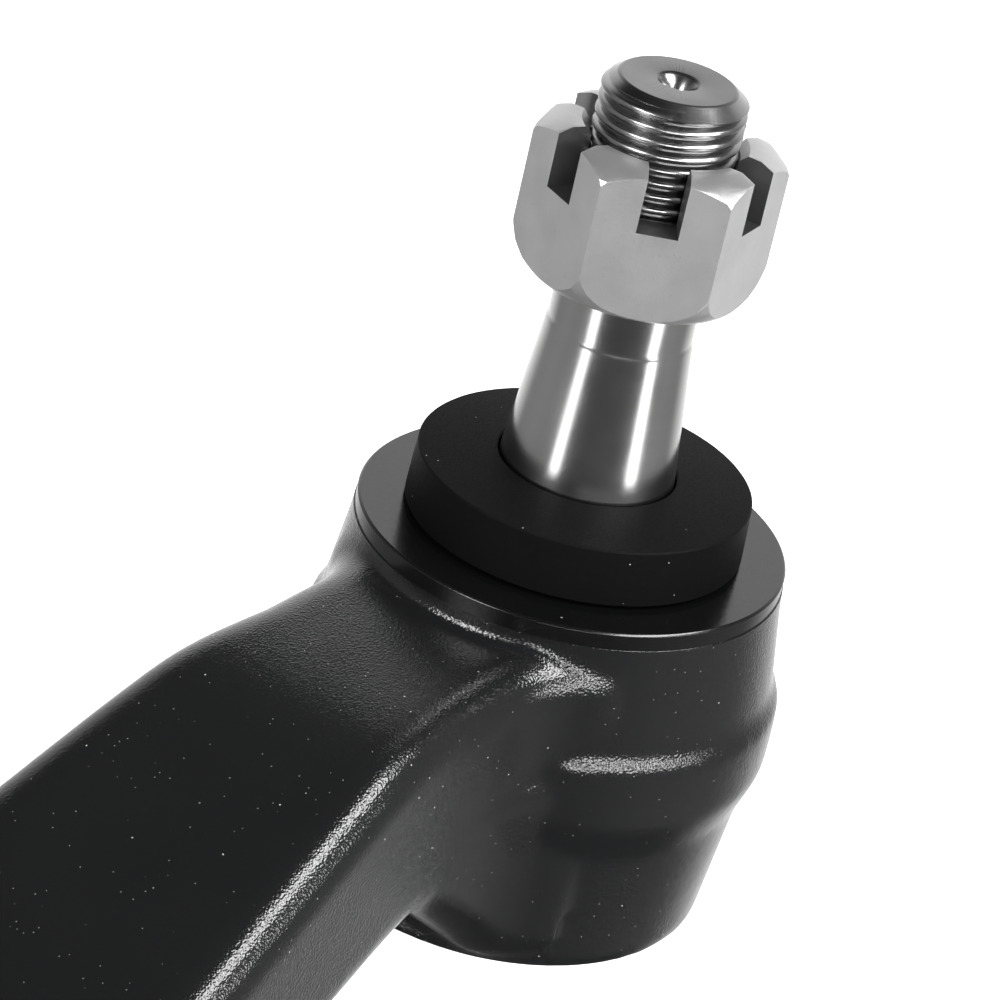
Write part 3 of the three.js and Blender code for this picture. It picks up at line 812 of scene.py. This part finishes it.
def castle_nut():
    height = nut_top - nut_bottom
    middle = (nut_top + nut_bottom) / 2
    corner = across_flats / 2 / math.cos(math.pi / 6)
    turn = math.radians(7.5)
    fresh()
    bpy.ops.mesh.primitive_cylinder_add(
        vertices=6, radius=corner * MM, depth=height * MM, location=(0, 0, middle * MM),
        rotation=(0, 0, turn + math.pi / 6))
    nut = bpy.context.object
    bpy.ops.object.transform_apply(location=True, rotation=True)
    crown = turned("crown", [
        (0, nut_bottom), (11.0, nut_bottom), (11.75, nut_bottom + 0.25), (12.6, nut_bottom + 1.05),
        (13.3, nut_bottom + 2.2), (13.75, nut_bottom + 3.6), (14.2, nut_bottom + 6),
        (14.2, nut_top - 3.2), (13.6, nut_top - 1.75), (12.3, nut_top - 0.72), (10.6, nut_top),
        (0, nut_top)], 192)
    combine(nut, crown, "INTERSECT")
    bore = turned("bore", [
        (0, nut_bottom - 1), (9.2, nut_bottom - 1), (9.2, nut_bottom), (8.2, nut_bottom + 1),
        (8.2, nut_top - 0.9), (9.1, nut_top), (9.1, nut_top + 1), (0, nut_top + 1)], 96)
    combine(nut, bore, "DIFFERENCE")
    slot_w, slot_h = 4.5, 6.8
    slot_turns = [turn + math.pi / 6 + i * math.pi / 3 for i in range(3)]
    for i, slot_turn in enumerate(slot_turns):
        fresh()
        bpy.ops.mesh.primitive_cube_add(
            size=MM, location=(0, 0, (nut_top - slot_h / 2 + 1) * MM), rotation=(0, 0, slot_turn))
        slot = bpy.context.object
        slot.scale = (40, slot_w, slot_h + 2 + 0.004 * i)  # no two slot floors in one plane
        bpy.ops.object.transform_apply(location=True, rotation=True, scale=True)
        combine(nut, slot, "DIFFERENCE")
    edit(nut)
    bpy.ops.mesh.select_all(action="SELECT")
    bpy.ops.mesh.remove_doubles(threshold=0.004 * MM)
    bpy.ops.mesh.dissolve_degenerate(threshold=0.004 * MM)
    bpy.ops.object.mode_set(mode="OBJECT")
    apply_modifier(nut, "BEVEL", width=0.24 * MM, segments=3, limit_method="ANGLE",
                   angle_limit=math.radians(28), use_clamp_overlap=True)
    smooth(nut, 40)
    finish(nut, "nut", "zinc_plate", "castle_nut", ZINC, ZINC_SLOT_SHADE)
    # Faces in the slots and the bore take the darker copy, painted shade.
    for face_ in nut.data.polygons:
        c = face_.center / MM
        off_middle = min(abs(c.y * math.cos(a) - c.x * math.sin(a)) for a in slot_turns)
        in_slot = off_middle < slot_w / 2 + 0.02 and nut_top - slot_h - 0.05 < c.z < nut_top - 0.1
        face_.material_index = int(in_slot or math.hypot(c.x, c.y) < 8.3)
    nut.name = "slotted_nut"
    return nut


castle_nut()

# ---------------------------------------------------------------- cover and grease fitting


def cover_plate():
    low = cover_top - 2.5
    dish = 0.9
    outline = softened([
        (3.3, low - dish), (14.4, low - dish), (16.2, low), (recess_r - 0.3, low),
        (recess_r - 0.3, cover_top), (16.2, cover_top), (14.4, cover_top - dish),
        (3.3, cover_top - dish), (3.3, low - dish)], 0.5)
    piece = turned("pressed_cover", outline, 128)
    smooth(piece, 40)
    finish(piece, "housing", "black_coat", "cover_plate", BLACK_TURNED_SHADE)


def grease_fitting():
    tip = size_of("grease_fitting", LOW, 2)
    top = size_of("grease_fitting", HIGH, 2)
    seat = tip + 9
    nose = softened([
        (0, tip), (1.5, tip), (3.25, tip + 1.7), (3.25, tip + 2.6), (2.4, tip + 3.8),
        (2.4, tip + 6), (3, seat - 0.2), (3, top), (0, top)], 0.25)
    piece = turned("nose", nose, 64)
    fresh()
    bpy.ops.mesh.primitive_cylinder_add(
        vertices=6, radius=4 / math.cos(math.pi / 6) * MM, depth=3 * MM, location=(0, 0, (seat - 1.5) * MM))
    hexagon = bpy.context.object
    bpy.ops.object.transform_apply(location=True)
    crown = turned("crown", [
        (0, seat - 3), (3.7, seat - 3), (4.7, seat - 2.45), (4.7, seat - 0.55), (3.7, seat), (0, seat)], 96)
    combine(hexagon, crown, "INTERSECT")
    combine(piece, hexagon, "UNION")
    bore = turned("bore", [
        (0, tip - 1), (0.9, tip - 1), (0.9, tip + 0.6), (1.75, tip + 1.5), (1.75, top + 1), (0, top + 1)], 48)
    combine(piece, bore, "DIFFERENCE")
    smooth(piece, 35)
    finish(piece, "housing", "zinc_plate", "grease_fitting", ZINC)
    piece.name = "grease_nipple"


cover_plate()
grease_fitting()

# ---------------------------------------------------------------- pieces carried over from the frame

KEPT = {
    "upper_bearing": BRONZE,
    "pressure_seat": BRONZE,
    "half_ball": HARD_STEEL,
    "disc_spring": SPRING_STEEL,
    "fitting_spring": SPRING_STEEL,
    "fitting_check_ball": HARD_STEEL,
}
for node, material in KEPT.items():
    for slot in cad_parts[node].material_slots:
        slot.material = material

# ---------------------------------------------------------------- floor, light and camera

box_low, box_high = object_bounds()


def stage_floor():
    """A lit white table, well under the part. Polished pieces mirror the studio walls and not the table."""
    fresh()
    bpy.ops.mesh.primitive_plane_add(size=12, location=(0, 0, box_low[2] - 0.25))
    floor = bpy.context.object
    floor.name = "floor"
    material, tree, shader = new_material("pale floor", Roughness=0.9)
    shader.inputs["Base Color"].default_value = (0.9, 0.9, 0.9, 1)
    shader.inputs["Emission Color"].default_value = (1, 1, 1, 1)
    shader.inputs["Emission Strength"].default_value = 0.85
    floor.data.materials.append(material)
    floor.visible_glossy = False
    floor.visible_shadow = False


def softbox(name, azimuth, elevation, half_wide, half_tall, brightness, only_on=()):
    """A softbox aimed at the seal, its place and size given as angles seen from there."""
    distance = 1.2
    a, e = math.radians(azimuth), math.radians(elevation)
    light = bpy.data.lights.new(name, "AREA")
    light.shape = "RECTANGLE"
    light.size = 2 * distance * math.tan(math.radians(half_wide))
    light.size_y = 2 * distance * math.tan(math.radians(half_tall))
    light.energy = brightness * math.pi * light.size * light.size_y
    lamp = bpy.data.objects.new(name, light)
    bpy.context.scene.collection.objects.link(lamp)
    offset = Vector((math.cos(a) * math.cos(e), math.sin(a) * math.cos(e), math.sin(e))) * distance
    lamp.location = Vector((0.01, 0, 0.025)) + offset
    lamp.rotation_euler = offset.to_track_quat("Z", "Y").to_euler()
    lamp.visible_camera = False
    if only_on:
        lit = bpy.data.collections.new(name + " lights")
        for piece in only_on:
            lit.objects.link(bpy.data.objects[piece])
        lamp.light_linking.receiver_collection = lit


def ramp_of(tree, value, stops):
    """A grey ramp through (value, brightness) stops."""
    ramp = tree.nodes.new("ShaderNodeValToRGB")
    elements = ramp.color_ramp.elements
    elements[0].position, elements[1].position = stops[0][0], stops[-1][0]
    for position, _ in stops[1:-1]:
        elements.new(position)
    for element, (_, brightness) in zip(elements, stops):
        element.color = (brightness, brightness, brightness, 1)
    tree.links.new(value, ramp.inputs["Fac"])
    return ramp.outputs["Color"]


# how bright the walls are, from behind the part (0) round to its front (1)
WALL_TONES = [(0.0, 1.35), (0.25, 0.3), (0.5, 0.34), (0.75, 0.28), (0.92, 0.10), (1.0, 0.07)]
# and from straight down (0) to straight up (1)
HEIGHT_TONES = [(0.0, 0.04), (0.12, 0.08), (0.19, 1.0), (0.74, 1.0), (0.81, 0.08), (1.0, 0.04)]


def studio_world():
    """Pale walls, darkest on the side that the part faces, between a dark floor and ceiling."""
    world = bpy.data.worlds.new("studio")
    bpy.context.scene.world = world
    world.use_nodes = True
    tree = world.node_tree
    background = tree.nodes["Background"]
    coordinates = tree.nodes.new("ShaderNodeTexCoord")
    split = tree.nodes.new("ShaderNodeSeparateXYZ")
    tree.links.new(coordinates.outputs["Generated"], split.inputs["Vector"])
    x, y, z = (split.outputs[axis] for axis in "XYZ")
    front = math.radians(31)
    along = plus(tree, times(tree, x, math.cos(front)), times(tree, y, math.sin(front)))
    level = mathnode(tree, "SQRT", plus(tree, times(tree, x, x), times(tree, y, y)))
    facing = mathnode(tree, "DIVIDE", along, mathnode(tree, "MAXIMUM", level, 0.01))
    both = times(tree, ramp_of(tree, mapped(tree, facing, -1, 1), WALL_TONES),
                 ramp_of(tree, mapped(tree, z, -1, 1), HEIGHT_TONES))
    seen = tree.nodes.new("ShaderNodeLightPath").outputs["Is Camera Ray"]
    tree.links.new(colour_mix(tree, seen, both, (1, 1, 1)), background.inputs["Color"])


def set_camera():
    camera_data = bpy.data.cameras.new("camera")
    camera_data.sensor_width = 36
    camera_data.lens = 180
    camera_data.clip_start = 0.01
    camera = bpy.data.objects.new("camera", camera_data)
    bpy.context.scene.collection.objects.link(camera)
    right = Vector((-0.58844756, 0.78309371, 0.20123049))
    up = Vector((-0.26002454, -0.41895061, 0.86998139))
    back = right.cross(up)
    turn = Matrix((right, up, back)).transposed().to_4x4()
    camera.matrix_world = Matrix.Translation((0.424162, 0.244886, 0.265125)) @ turn
    bpy.context.scene.camera = camera


stage_floor()
softbox("left strip", -10, -30, 6, 26, 3.6)
softbox("right strip", 92, -30, 7, 26, 3.6, ["tapered_stud", "slotted_nut"])
softbox("upper right box", 101, 50, 20, 7, 20)
softbox("right band", 70, 21, 42, 4, 18)
softbox("upper left box", -12, 32, 9, 12, 18)
studio_world()
set_camera()
bpy.context.scene.view_settings.view_transform = "Standard"

fresh()
